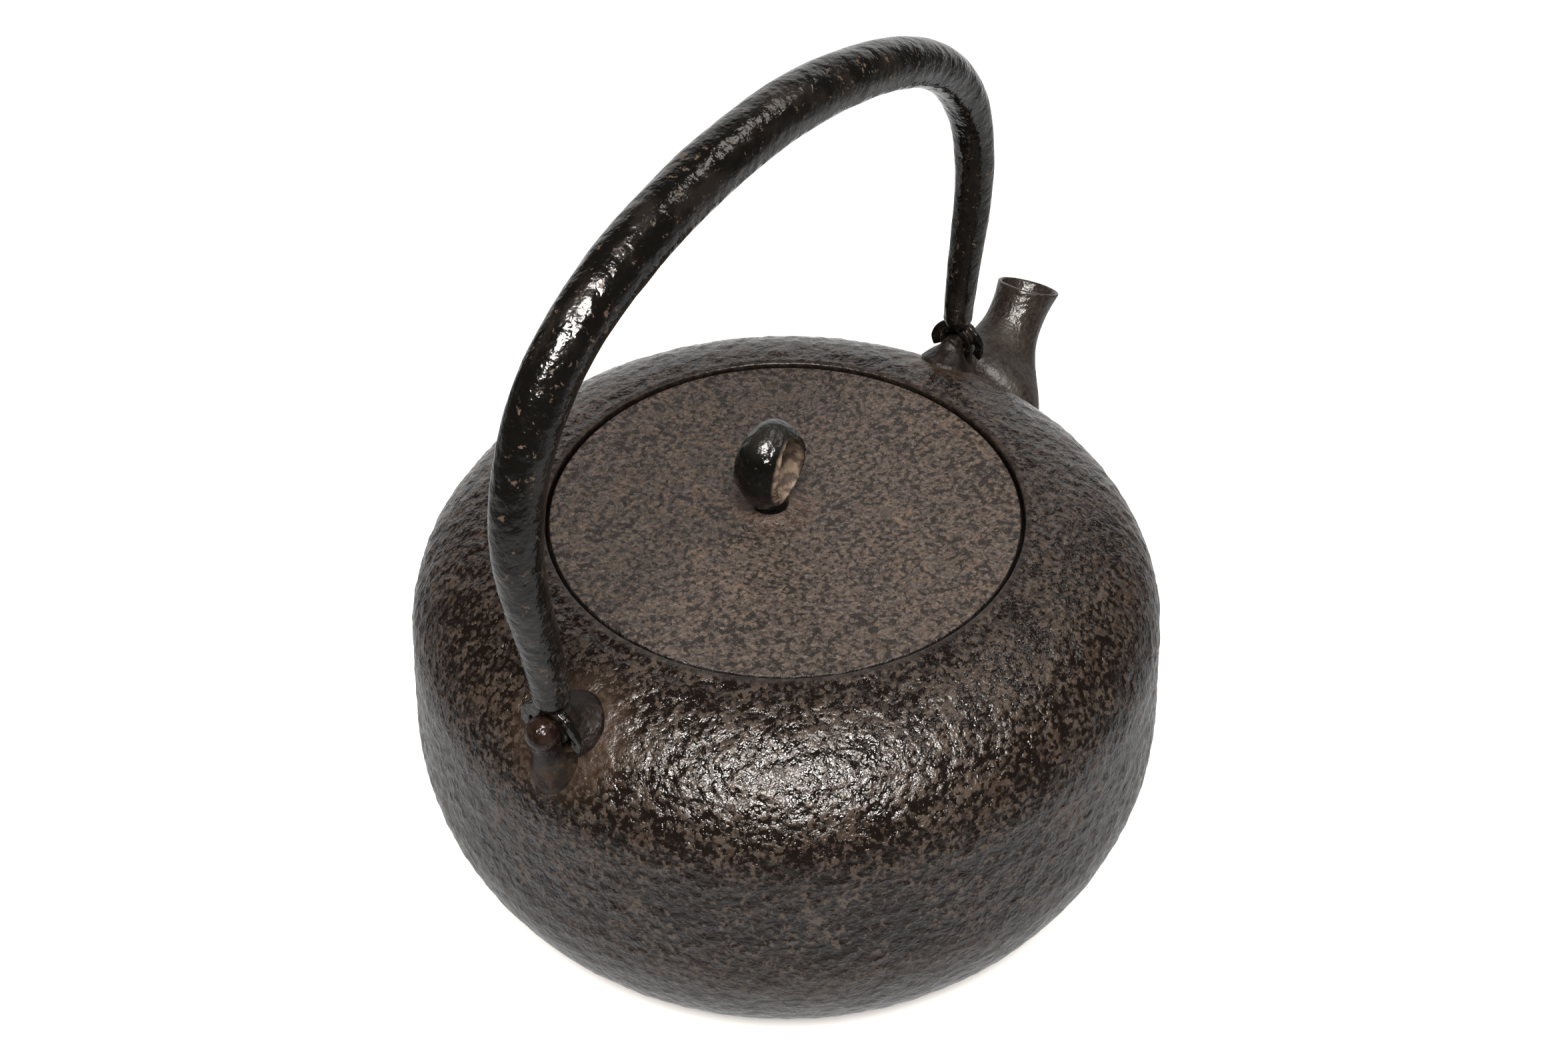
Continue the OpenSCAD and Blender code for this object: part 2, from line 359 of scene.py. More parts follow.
    def finish(self, colour=None, roughness=None, normal=None):
        """The material, with what drives its colour, roughness and normal plugged in."""
        for socket, value in (("Base Color", colour), ("Roughness", roughness), ("Normal", normal)):
            if value is not None:
                self.feed(self.shader.inputs[socket], value)
        return self.material


# Linear red, green and blue. A pair is the two ends of a blend.
BODY_LACQUER = (0.0046, 0.0029, 0.0021)
OXIDE = (0.0145, 0.0101, 0.0077), (0.044, 0.0325, 0.0253)
OXIDE_BROWN = (0.031, 0.0185, 0.0118)
BODY_RUST = (0.035, 0.0215, 0.0138)
# Painted shade for the body's wall in the seam round the lid.
BODY_SEAM_SHADE = (0.0040, 0.0028, 0.0022)
LID_GREY = (0.033, 0.0245, 0.0200), (0.071, 0.0535, 0.0438)
LID_TAN = (0.041, 0.0277, 0.0194), (0.090, 0.0630, 0.0450)
# Dark cracks of the lid: partly their own colour, partly painted shade.
LID_CRACK_SHADE = (0.0115, 0.0083, 0.0066)
LID_RUST = (0.046, 0.024, 0.013)
# Painted shade for the lid's edge down in the seam.
LID_SEAM_SHADE = (0.0045, 0.0032, 0.0025)
SPOUT_SKIN = (0.0150, 0.0118, 0.0098), (0.0085, 0.0050, 0.0037)
SPOUT_FLECK = (0.034, 0.027, 0.022)
LUG_LACQUER = (0.0065, 0.0030, 0.0024), (0.0150, 0.0080, 0.0060)
LUG_SKIN = (0.0045, 0.0031, 0.0023), (0.0115, 0.0080, 0.0060)
LUG_RUST = (0.0080, 0.0049, 0.0033), (0.0240, 0.0148, 0.0096)
KNOB_LACQUER = (0.0022, 0.0022, 0.0017), (0.012, 0.010, 0.007)
KNOB_WORN = (0.050, 0.034, 0.024), (0.185, 0.135, 0.095)
# Dust and a painted sheen: the grey that lightens the knob's top.
KNOB_DUST_SHEEN = (0.016, 0.0145, 0.0125)
IRON = (0.0025, 0.0021, 0.0017), (0.0080, 0.0062, 0.0048)
IRON_RUST = (0.060, 0.037, 0.021)


def oxide_patches(p):
    """1 on ragged patches of oxide, 0 on bare lacquer; the shoulder has more patches."""
    clouds = p.times(p.lumps(8, detail=4, rough=0.6), 0.45)
    crust = p.plus(p.lumps(1.3, detail=4, rough=0.65), clouds)
    crust = p.minus(crust, p.times(p.cells(1.35), 0.20))
    shoulder = p.fade_mm(p.height(), rim_h - 34, rim_h - 8)
    edge = p.pick(shoulder, 0.662, 0.632)
    return p.fade(p.minus(crust, edge), -0.045, 0.060)


def oxide_colour(p, grain):
    """Taupe that follows the grain, with browner clouds."""
    fine = p.lumps(0.9, detail=3, rough=0.6)
    tone = p.plus(p.times(fine, 0.6), p.times(grain, 0.6))
    taupe = p.blend(p.fade(tone, 0.52, 0.68), *OXIDE)
    warm = p.fade(p.lumps(6, detail=4, rough=0.6), 0.50, 0.66)
    return p.blend(p.times(warm, 0.5), taupe, OXIDE_BROWN)


def pebble_normal(p, relief, depth):
    """The skin's relief with a fine grain over it."""
    return p.bump(p.lumps(0.8, detail=2), 0.05, under=p.bump(relief, depth))


def cast_body_paint():
    """Dark glossy lacquer, with ragged patches of matt taupe oxide that thin out down the wall."""
    p = Paint("cast_body", IOR=1.45)
    grain = p.lumps(2.0, detail=3, rough=0.55)
    patch = oxide_patches(p)
    wall = p.fade_mm(p.height(), HIP_H - 8, HIP_H + 14, 1.0, 0.0)
    lip = p.fade_mm(p.axis_radius(), recess_r + 0.6, recess_r + 2.0, 1.0, 0.0)
    smooth = p.larger(p.times(lip, 0.7), p.near(spout_root, 22, 40))
    film = p.pick(p.larger(p.times(wall, 0.8), smooth), patch, 0.45)
    colour = p.blend(film, BODY_LACQUER, oxide_colour(p, grain))
    speckle = p.fade(p.lumps(2.4, detail=4, rough=0.65), 0.40, 0.60)
    for side in (-1, 1):
        halo = p.near((side * (body_r - 15), 0, rim_h - 6), 7, 17)
        smooth = p.larger(smooth, p.times(halo, 0.7))
        colour = p.blend(p.times(halo, p.pick(speckle, 0.45, 0.90)), colour, BODY_RUST)
    # Painted shade: the body's wall in the seam round the lid is darkened, fully deep in the gap and a
    # quarter as much near the rim, where shade falls.
    seam = p.fade_mm(p.axis_radius(), recess_r + 0.1, recess_r + 0.4, 1.0, 0.0)
    deep = p.fade_mm(p.height(), rim_h - 1.6, rim_h - 0.8, 1.0, 0.25)
    colour = p.blend(p.times(seam, deep), colour, BODY_SEAM_SHADE)
    rough = p.pick(smooth, p.pick(film, 0.15, 0.27), 0.42)
    relief = p.plus(grain, p.times(patch, 0.04))
    relief = p.plus(relief, p.times(p.cells(2.0, "SMOOTH_F1"), -0.22))
    normal = pebble_normal(p, p.times(relief, p.pick(smooth, 1.0, 0.3)), 0.70)
    return p.finish(colour, rough, normal)


def lid_shaded_cracks(p):
    """0 along the cracks and pits of the lid's skin, whose dark colour is partly their own and partly
    painted shade of the relief, 1 on the skin itself.
    """
    crust = p.plus(p.lumps(1.35, detail=4, rough=0.65), p.times(p.lumps(8, detail=3), 0.22))
    crust = p.minus(crust, p.times(p.cells(1.5), 0.26))
    return p.times(p.fade(crust, 0.395, 0.480), p.pick(p.creases(2.6, 0.030), 0.35, 1.0))


def lid_mottle(p):
    """Grey skin with clouds of tan, both uneven."""
    fine = p.fade(p.lumps(0.9, detail=3, rough=0.6), 0.35, 0.65)
    clouds = p.fade(p.lumps(20, detail=4, rough=0.6), 0.40, 0.62)
    spots = p.fade(p.lumps(3.6, detail=4, rough=0.65), 0.45, 0.60)
    share = p.pick(clouds, p.times(spots, 0.3), spots)
    return p.blend(share, p.blend(fine, *LID_GREY), p.blend(fine, *LID_TAN))


def cast_lid_paint():
    """Matt mottled taupe skin, flatter than the body's, with a rusty boss under the knob."""
    p = Paint("cast_lid", IOR=1.45)
    grain = p.lumps(1.9, detail=3, rough=0.55)
    skin = lid_shaded_cracks(p)
    # The cracks and pits are painted dark: partly their own colour, partly painted shade of the relief.
    colour = p.blend(skin, LID_CRACK_SHADE, lid_mottle(p))
    boss = p.near((knob_at[0], knob_at[1], lid_edge_h - 1), 4, 12)
    ragged = p.fade(p.lumps(2.4, detail=4, rough=0.65), 0.42, 0.58)
    colour = p.blend(p.times(boss, p.pick(ragged, 0.10, 0.85)), colour, LID_RUST)
    # Painted shade: the lid's outer edge, down in the seam round it, is darkened where shade falls.
    seam = p.fade_mm(p.axis_radius(), lid_r - 0.40, lid_r - 0.10)
    colour = p.blend(seam, colour, LID_SEAM_SHADE)
    rough = p.pick(skin, 0.42, 0.58)
    relief = p.plus(grain, p.times(skin, 0.06))
    relief = p.plus(relief, p.times(p.cells(2.2, "SMOOTH_F1"), -0.25))
    return p.finish(colour, rough, pebble_normal(p, relief, 1.0))


def spout_paint():
    """Smooth satin skin, mottled brown and grey, with a fine pitted grain."""
    p = Paint("smooth_spout", IOR=1.45)
    mottle = p.fade(p.lumps(5, detail=5, rough=0.66), 0.43, 0.58)
    fine = p.fade(p.lumps(1.2, detail=4, rough=0.65), 0.42, 0.60)
    colour = p.blend(mottle, *SPOUT_SKIN)
    colour = p.blend(p.times(fine, 0.45), colour, SPOUT_FLECK)
    root = p.near((body_r, 0, rim_h - 22), 15, 24)
    rough = p.pick(root, p.pick(mottle, 0.25, 0.35), 0.5)
    normal = p.bump(p.lumps(1.7, detail=3, rough=0.55), 0.42)
    return p.finish(colour, rough, normal)


def lug_paint():
    """Brown-grey castings that turn to glossy dark red lacquer at the knuckle."""
    p = Paint("lugs", IOR=1.32)
    mottle = p.fade(p.lumps(3, detail=4, rough=0.6), 0.42, 0.60)
    root = p.fade_mm(p.height(), pivot_h - 9, pivot_h - 5, 1.0, 0.0)
    casting = p.blend(root, p.blend(mottle, *LUG_SKIN), p.blend(mottle, *LUG_RUST))
    knuckle = p.larger(*[p.near(knuckle_at(side), KNUCKLE_R, 4.8) for side in (1, -1)])
    colour = p.blend(knuckle, casting, p.blend(mottle, *LUG_LACQUER))
    rough = p.pick(knuckle, p.pick(mottle, 0.44, 0.54), 0.20)
    normal = p.bump(p.lumps(2.2, detail=3), 0.60)
    return p.finish(colour, rough, normal)


def knob_paint():
    """Glossy black lacquer, wrinkled, greyer and duller on top with dust and a painted sheen, and worn
    to rust tan inside the loop.
    """
    p = Paint("knob", IOR=1.45)
    flecks = p.fade(p.lumps(1.3, detail=5, rough=0.7), 0.58, 0.68)
    height = knob_high[2] - KNOB_LOOP_LOW
    hole = (knob_at[0], knob_at[1], KNOB_LOOP_LOW + height / 2 + 0.2)
    hole_radii = (KNOB_W * KNOB_HOLE[0] + 0.4, KNOB_W, height * KNOB_HOLE[1] + 0.4)
    inside = p.within(hole, hole_radii)
    worn = p.blend(p.fade(p.lumps(2.6, detail=4), 0.40, 0.60), *KNOB_WORN)
    colour = p.blend(inside, p.blend(flecks, *KNOB_LACQUER), worn)
    # Dust and a painted sheen: the top is painted grey where the lamp's reflection lies, and made
    # duller.
    dust_and_sheen = p.fade_mm(p.height(), knob_high[2] - 5, knob_high[2] - 1)
    colour = p.blend(p.times(dust_and_sheen, 0.6), colour, KNOB_DUST_SHEEN)
    rough = p.pick(inside, p.pick(dust_and_sheen, p.pick(flecks, 0.13, 0.34), 0.30), 0.7)
    normal = p.bump(p.lumps(3.4, detail=3), 0.95)
    return p.finish(colour, rough, normal)


def handle_paint():
    """Forged iron: near black satin, with rust specks, pits and worn grey streaks."""
    p = Paint("forged_handle", IOR=1.5)
    flow = p.lumps(6, detail=5, rough=0.6, place=p.stretched(0.5, 1, 0.5))
    worn = p.fade(flow, 0.50, 0.66)
    rust = p.fade(p.lumps(1.9, detail=5, rough=0.70), 0.605, 0.645)
    colour = p.blend(p.times(rust, 0.8), p.blend(worn, *IRON), IRON_RUST)
    rough = p.pick(rust, p.pick(worn, 0.16, 0.26), 0.60)
    pits = p.fade(p.cells(2.6), 0.0, 0.20)
    relief = p.plus(p.lumps(3.2, detail=3), p.times(pits, 0.12))
    normal = p.bump(p.lumps(1.0, detail=2), 0.05, under=p.bump(relief, 0.65))
    return p.finish(colour, rough, normal)


# ---------------------------------------------------------------- body

HIP_ROUND = 28.5                    # how far the hip curves out from the flat base
HIP_H = 36                          # height of the widest point
SHOULDER_R = 54                     # radius at which the shoulder comes level
SHOULDER_DROP = 26.5                # height of the shoulder's ellipse
SHOULDER_OUT = body_r - 57.15       # its width
WALL = 3.5
BASE_T = 4
LEDGE_H = lid_edge_h - 3.05         # the ledge that the lid rests on
MOUTH_R = recess_r - 5.3
BODY_SIDES = 512
THROAT_R = 12                       # the hole from the body into the spout
THROAT_LENGTH = 26
THROAT_TILT = 55                    # degrees
THROAT_AT = (body_r - 20, 0, rim_h - 39.5)


def body_curve(inset, floor_t, last_angle):
    """Base edge to rim: a hip ellipse, a leaning wall and a shoulder ellipse."""
    hip = ellipse_arc((body_r - HIP_ROUND, HIP_H), (HIP_ROUND - inset, HIP_H - floor_t), -90, 9, 40)
    shoulder = ellipse_arc((SHOULDER_R, rim_h - SHOULDER_DROP),
                           (SHOULDER_OUT - inset, SHOULDER_DROP - inset), 5.5, last_angle, 40)
    return np.vstack([hip, shoulder])


OUTER = body_curve(0, 0, 90)


def outside_body(points):
    """How far points lie outside the body's outer skin, negative inside it."""
    flat = np.stack([np.hypot(points[:, 0], points[:, 1]), points[:, 2]], 1)
    start = OUTER[:-1]
    step = OUTER[1:] - start
    offset = flat[:, None] - start
    share = np.clip((offset * step).sum(2) / (step * step).sum(1), 0, 1)
    gap = offset - share[..., None] * step
    distance = np.linalg.norm(gap, axis=2)
    best = distance.argmin(1)
    row = np.arange(len(points))
    side = step[best, 1] * gap[row, best, 0] - step[best, 0] * gap[row, best, 1]
    return distance[row, best] * np.sign(side)


def flare(points, reach, swell):
    """How much a casting thickens where it grows out of the body."""
    return swell * (1 - np.clip(outside_body(points) / reach, 0, 1)) ** 2


def body_profile():
    """Half section from the middle of the base, up the outside and back down the inside."""
    lip = ellipse_arc((recess_r + 0.5, rim_h - 0.5), (0.5, 0.5), 90, 180, 4)
    inner = resample(body_curve(WALL, BASE_T, 72)[::-1], 2.6)
    return np.vstack([
        resample([[0, 0], [body_r - HIP_ROUND - 0.5, 0]], 6),
        resample(OUTER, 1.05)[:-1],
        lip,
        resample([[recess_r, rim_h - 0.9], [recess_r, LEDGE_H]], 1.2),
        resample([[recess_r - 0.8, LEDGE_H], [MOUTH_R + 0.4, LEDGE_H]], 1.4),
        resample([[MOUTH_R, LEDGE_H - 0.4], [MOUTH_R, LEDGE_H - 3.2]], 1.4),
        inner,
        resample([[body_r - HIP_ROUND - 4, BASE_T], [0, BASE_T]], 6)])


def pebble_share(points):
    """How much of its pebbles the outer skin keeps: fewer low down, near the spout and the lugs."""
    spout_gap = np.linalg.norm(points - spout_root, axis=1)
    lug_gap = np.hypot(np.abs(points[:, 0]) - EYE_OUT, points[:, 1])
    by_height = 0.55 + 0.45 * smooth_step(points[:, 2], 15, 40)
    by_spout = 0.2 + 0.8 * smooth_step(spout_gap, 20, 32)
    by_lug = 0.3 + 0.7 * smooth_step(lug_gap, 7, 12)
    return by_height * by_spout * by_lug


def cast_relief(points):
    """Height of the pebbly skin, which is plain at the lip and under the base."""
    radius = np.hypot(points[:, 0], points[:, 1])
    outer = smooth_step(outside_body(points), -0.6, -0.3)
    lip = smooth_step(radius, recess_r + 1.2, recess_r + 3.4)
    foot = smooth_step(points[:, 2], 0.3, 6)
    grain = 0.32 * fractal(points, 2.9, 2) * outer * lip * foot * pebble_share(points)
    waves = 0.16 * fractal(points, 22, 2, offset=7.3) * foot * lip
    groove = -0.22 * np.exp(-((radius - recess_r - 3.6) / 1.3) ** 2) * (points[:, 2] > rim_h - 3)
    return grain + waves + groove * outer


def make_body(material):
    obj = make_object("body_casting", *lathe(body_profile(), BODY_SIDES))
    push_out(obj, cast_relief(points_of(obj)))
    throat, faces = rod(THROAT_R, THROAT_R, THROAT_LENGTH, 64)
    carve(obj, throat @ tilt_y(THROAT_TILT).T + THROAT_AT, faces)
    hand_over(obj, "kettle", ["kettle_body"], material)


# ---------------------------------------------------------------- spout

SPOUT_PATH = np.array([[body_r - 10, rim_h - 35.5], [body_r + 12, rim_h - 18],
                       [body_r + 12.5, rim_h - 25], [body_r + 29.7, rim_h - 6.2]])
SPOUT_RADII = np.array([22, 22, 3.8, 8.6])
SPOUT_WALL = 2.2
SPOUT_SIDES = 112
SKIN_ROWS, LIP_ROWS, BORE_ROWS = 84, 6, 40
ROOT_DEPTH = 1.6                    # how far the spout reaches into the body's wall
ROOT_SQUASH = 0.72                  # height of the root over its width
ROOT_ANGLE = 8                      # lean of the cross sections
MOUTH_ANGLE = 67


def bezier(controls, t):
    """Points at shares t of a cubic curve."""
    weights = np.stack([(1 - t) ** 3, 3 * (1 - t) ** 2 * t, 3 * (1 - t) * t * t, t ** 3], -1)
    return weights @ controls


def spout_points(t, turn, inset):
    """Points of the spout's skin at shares t of its length and angles turn round it."""
    centre = bezier(SPOUT_PATH, t)
    radius = bezier(SPOUT_RADII, t) - inset
    lean = np.radians(ROOT_ANGLE + (MOUTH_ANGLE - ROOT_ANGLE) * t)
    squash = np.minimum(1, ROOT_SQUASH + (1 - ROOT_SQUASH) * 2 * t)
    up = squash * radius * np.cos(turn)
    return np.stack([centre[..., 0] - up * np.sin(lean), radius * np.sin(turn),
                     centre[..., 1] + up * np.cos(lean)], -1)


def root_share(turn, inset, depth):
    """Where along the spout its skin is that deep under the body's, for each angle."""
    low = np.zeros_like(turn)
    high = np.full_like(turn, 0.6)
    for _ in range(24):
        middle = (low + high) / 2
        deep = outside_body(spout_points(middle, turn, inset)) < -depth
        low = np.where(deep, middle, low)
        high = np.where(deep, high, middle)
    return (low + high) / 2


def spout_rows(turn):
    """Share of the length and inset of each ring: up the skin, over the lip and down the bore."""
    rows = []
    outer_root = root_share(turn, 0, ROOT_DEPTH)
    for share in np.linspace(0, 1, SKIN_ROWS):
        rows.append((outer_root + (1 - outer_root) * share, 0.0))
    half_wall = SPOUT_WALL / 2
    for bend in np.radians(np.linspace(15, 165, LIP_ROWS)):
        rows.append((1 + 0.006 * math.sin(bend), half_wall / 2 * (1 - math.cos(bend))))
    inner_root = root_share(turn, SPOUT_WALL, ROOT_DEPTH)
    for share in np.linspace(0, 1, BORE_ROWS):
        at = 1 - (1 - inner_root) * share
        rows.append((at, half_wall + (SPOUT_WALL - half_wall) * smooth_step(1 - at, 0, 0.3)))
    return rows


def make_spout(material):
    turn = np.linspace(0, 2 * math.pi, SPOUT_SIDES, endpoint=False)
    rows = spout_rows(turn)
    points = np.vstack([spout_points(np.broadcast_to(t, turn.shape), turn, inset) for t, inset in rows])
    obj = make_object("spout_casting", points, grid_faces(len(rows), SPOUT_SIDES, wrap_rows=True))
    grow = flare(points, 6.5, 2.4)
    grow[SKIN_ROWS * SPOUT_SIDES:] = 0
    wobble = 0.10 * fractal(points, 9, 2) + 0.03 * fractal(points, 2.6, 2)
    push_out(obj, grow + wobble)
    hand_over(obj, "kettle", ["spout"], material)


# ---------------------------------------------------------------- lugs

LUG_CONE = (7.8, 2.7, 13.0)         # radius at the root, radius at the top, length
LUG_LIMB = (4.0, 3.1, 14)
LUG_NECK = (NECK_R, NECK_R, 7.5)
KNUCKLE_R = 3.6


def rod(start_r, end_r, length, sides=32):
    """A closed round bar or cone with flat ends, standing on the origin."""
    return lathe([[0, 0], [start_r, 0], [end_r, length], [0, length]], sides)


def ball(radius):
    return lathe(ellipse_arc((0, 0), (radius, radius), -90, 90, 17), 32)


def eye_plate(x_low, x_high, outer_r, hole_r):
    """A flat ring across X, about the hinge axis."""
    turn = np.linspace(0, 2 * math.pi, 64, endpoint=False)
    circle = np.stack([np.cos(turn), np.sin(turn)], 1)
    loops = [(outer_r, x_low), (outer_r, x_high), (hole_r, x_high), (hole_r, x_low)]
    points = [[x, y, pivot_h + z] for radius, x in loops for y, z in radius * circle]
    return np.array(points), grid_faces(4, len(turn), wrap_rows=True)


def knuckle_at(side):
    """Middle of the ball outside the hook."""
    return (side * (body_r - 8.4), 0, pivot_h - 0.2)


def make_lug(name, side, material):
    """A cone inside the hook's slot and a limb with a knuckle outside it, joined by the neck."""
    slot_in = EYE_IN - RUN_GAP
    slot_out = EYE_OUT + RUN_GAP
    knuckle = knuckle_at(1)
    bars = (
        (rod(*LUG_CONE), 32, (body_r - 20, 0, rim_h - 11.5)),
        (rod(*LUG_NECK), 90, (slot_in - 2.4, 0, pivot_h)),
        (ball(KNUCKLE_R), 0, knuckle),
        (rod(*LUG_LIMB), 12, (knuckle[0] - 2.9, 0, pivot_h - 14.6)))
    parts = [(points @ tilt_y(lean).T + at, faces) for (points, faces), lean, at in bars]
    obj = forge(name, parts, 0.32, 5)
    points = points_of(obj)
    push_out(obj, flare(points, 5.0, 1.7) + 0.10 * fractal(points, 4, 3))
    carve(obj, *eye_plate(slot_in, slot_out, WING_REACH + RUN_GAP, NECK_R))
    obj.data.set_sharp_from_angle(angle=math.radians(50))
    if side < 0:
        mirror_x(obj)
    hand_over(obj, "kettle", [name.replace("_casting", "")], material)


def mirror_x(obj):
    """Turns the mesh into its mirror image across the YZ plane."""
    points = points_of(obj)
    points[:, 0] *= -1
    move_points(obj, points)
    obj.data.flip_normals()


# ---------------------------------------------------------------- lid and knob

LID_SIDES = 400
KNOB_LOOP_LOW = lid_edge_h - 0.6
KNOB_W = 18.2
KNOB_DEPTH = 11.4
KNOB_TURN = 8                       # degrees
KNOB_HOLE = (0.352, 0.345)          # half width and half height, as shares of the loop's


def lid_profile():
    """Half section from the middle of the top, round the edge and the skirt, to the underside."""
    bevel = 0.5
    skirt_r = lid_r - 5.1
    skirt_low = lid_low[2]
    under_h = lid_edge_h - 4.5
    top_r = np.linspace(0, lid_r - bevel, 66)
    top = np.stack([top_r, lid_edge_h - 1.5 + 1.5 * (top_r / lid_r) ** 2], 1)
    edge = ellipse_arc((lid_r - bevel, lid_edge_h - bevel), (bevel, bevel * 0.98), 75, 0, 5)
    return np.vstack([
        top,
        edge,
        resample([[lid_r, lid_edge_h - 1.4], [lid_r, lid_edge_h - 2.8]], 0.8),
        resample([[lid_r - 0.3, lid_edge_h - 3], [skirt_r + 0.3, lid_edge_h - 3]], 1.6),
        resample([[skirt_r, lid_edge_h - 3.4], [skirt_r, skirt_low + 0.3]], 1.4),
        [[skirt_r - 0.4, skirt_low], [skirt_r - 1.8, skirt_low]],
        resample([[skirt_r - 2.4, skirt_low + 0.6], [skirt_r - 3.0, under_h + 1.2]], 1.4),
        resample([[skirt_r - 4.0, under_h + 0.9], [0, under_h]], 2.5)])


def lid_relief(points, normals):
    """Grain on the top with a ragged mound under the knob; the rest is almost plain."""
    on_top = (points[:, 2] > lid_edge_h - 2.2) & (normals[:, 2] > 0.3)
    inland = smooth_step(lid_r - np.hypot(points[:, 0], points[:, 1]), 0.3, 1.6)
    knob_gap = np.hypot(points[:, 0] - knob_at[0], points[:, 1] - knob_at[1])
    mound = 1.25 * (1 - smooth_step(knob_gap, 3.0, 9.0))
    ragged = 0.35 * fractal(points, 2.6, 3) * (1 - smooth_step(knob_gap, 6, 11))
    grain = 0.13 * fractal(points, 2.1, 2) + 0.10 * fractal(points, 17, 2, offset=3.1)
    return np.where(on_top, mound + ragged + grain * inland, 0.03 * fractal(points, 3, 2))


def make_lid(material):
    obj = make_object("lid_casting", *lathe(lid_profile()[::-1], LID_SIDES))
    push_out(obj, lid_relief(points_of(obj), normals_of(obj)))
    hand_over(obj, "lid", ["lid"], material)


def signed_power(value, power):
    """The power of the size of a value, with the value's sign."""
    return math.copysign(abs(value) ** power, value)


def knob_band(height, width, depth):
    """The egg-shaped loop: a band with a domed outer face round an egg-shaped hole."""
    count, around = 96, 40
    points = []
    for angle in np.linspace(0, 2 * math.pi, count, endpoint=False):
        side, lift = math.cos(angle), math.sin(angle)
        out = np.array([width / 2 * side * (1 + 0.07 * lift), height / 2 * lift])
        hole = np.array([width * KNOB_HOLE[0] * side, height * (KNOB_HOLE[1] * lift - 0.005) + 0.3])
        half_depth = depth / 2 * (1 - 0.18 * max(0, lift) ** 3 - 0.30 * max(0, -lift) ** 2)
        for bend in np.linspace(0, 2 * math.pi, around, endpoint=False):
            across = signed_power(math.sin(bend), 0.75)
            through = 0.5 + 0.5 * signed_power(math.cos(bend), 0.6)
            dome = 1 - 0.30 * across ** 2 * through
            place = (hole + (out - hole) * through) * dome
            points.append([place[0], half_depth * across, place[1]])
    return np.array(points), grid_faces(count, around, wrap_rows=True)


def knob_stem():
    """The head under the lid, the shaft through it and the flared foot of the loop."""
    low, top = knob_low[2], KNOB_LOOP_LOW
    head = [[0, low], [3.4, low], [4.0, low + 0.6], [4.1, low + 1.3], [2.9, low + 1.8]]
    shaft = [[2.5, low + 2.2], [2.5, top]]
    foot = [[4.3, top + 0.1], [3.4, top + 1.6], [3.0, top + 3], [0, top + 3]]
    return lathe(head + shaft + foot, 32, knob_at[:2])


def make_knob(material):
    height = knob_high[2] - KNOB_LOOP_LOW
    points, faces = knob_band(height, KNOB_W, KNOB_DEPTH)
    points = points @ spin_z(KNOB_TURN).T + [knob_at[0], knob_at[1], KNOB_LOOP_LOW + height / 2]
    obj = forge("knob_loop", [(points, faces), knob_stem()], 0.27, 7)
    points = points_of(obj)
    push_out(obj, 0.12 + 0.13 * fractal(points, 6, 2))
    hand_over(obj, "lid", ["knob"], material)


def make_washer(material):
    low, high = washer_low[2], washer_high[2]
    edge_r = (washer_high[0] - washer_low[0]) / 2
    profile = [[0, high], [edge_r - 0.4, high], [edge_r, high - 0.3], [edge_r, low + 0.4],
               [edge_r - 0.5, low], [0, low]]
    rows = np.vstack([resample(profile[i:i + 2], 0.5)[:-1] for i in range(5)] + [[[0, low]]])
    obj = make_object("knob_washer_disc", *lathe(rows[::-1], 64, knob_at[:2]))
    push_out(obj, 0.04 * fractal(points_of(obj), 2.4, 2))
    hand_over(obj, "lid", ["knob_washer"], material)


# ---------------------------------------------------------------- handle and hooks

ARCH_R = (body_r - 3.3, -1.23, -5.78, -1.56)     # the arch's radius, as a cosine series
LEG_X = sum(ARCH_R)
LEG_R = 3.7
GRIP_R = 5.6
ARCH_RINGS, ARCH_SIDES = 420, 56
EYE_R, EYE_HOLE_R = 4.4, 2.6
WING_LOW, WING_CURVE = 2.4, 7.8                  # centre and radius of the wings' outer edge
SIDE_GAP = 0.05                                  # the eye's faces lie that far inside the slot


def arch(turn):
    """Centreline of the handle, 0 on the spout side and pi at the back."""
    radius = sum(size * np.cos(2 * i * turn) for i, size in enumerate(ARCH_R))
    return np.stack([radius * np.cos(turn), 0 * turn, arch_h + radius * np.sin(turn)], -1)


def tube_section():
    """The tube's cross section: a circle a little flattened underneath, with a shallow seam."""
    angle = np.linspace(0, 2 * math.pi, ARCH_SIDES, endpoint=False)
    flat = 1 - 0.10 * smooth_step(-np.cos(angle), 0.55, 1.0)
    seam = 1 - 0.035 * np.exp(-((angle - math.pi) / 0.09) ** 2)
    return flat * seam * np.cos(angle), np.sin(angle)


def handle_tube():
    """The section swept along the arch, thicker at the grip, closed at both ends."""
    turn = np.linspace(0, math.pi, ARCH_RINGS)
    along = arch(turn + 0.01) - arch(turn - 0.01)
    along /= np.linalg.norm(along, axis=1)[:, None]
    outward = np.stack([along[:, 2], 0 * turn, -along[:, 0]], 1)
    radius = (LEG_R + (GRIP_R - LEG_R) * np.sin(turn) ** 0.8)[:, None]
    out, across = tube_section()
    points = (arch(turn)[:, None] + (radius * out)[..., None] * outward[:, None]
              + (radius * across)[..., None] * np.array([0, 1, 0]))
    faces = grid_faces(ARCH_RINGS, ARCH_SIDES)
    faces.append(list(range(ARCH_SIDES))[::-1])
    faces.append([(ARCH_RINGS - 1) * ARCH_SIDES + i for i in range(ARCH_SIDES)])
    return points.reshape(-1, 3), [face[::-1] for face in faces]


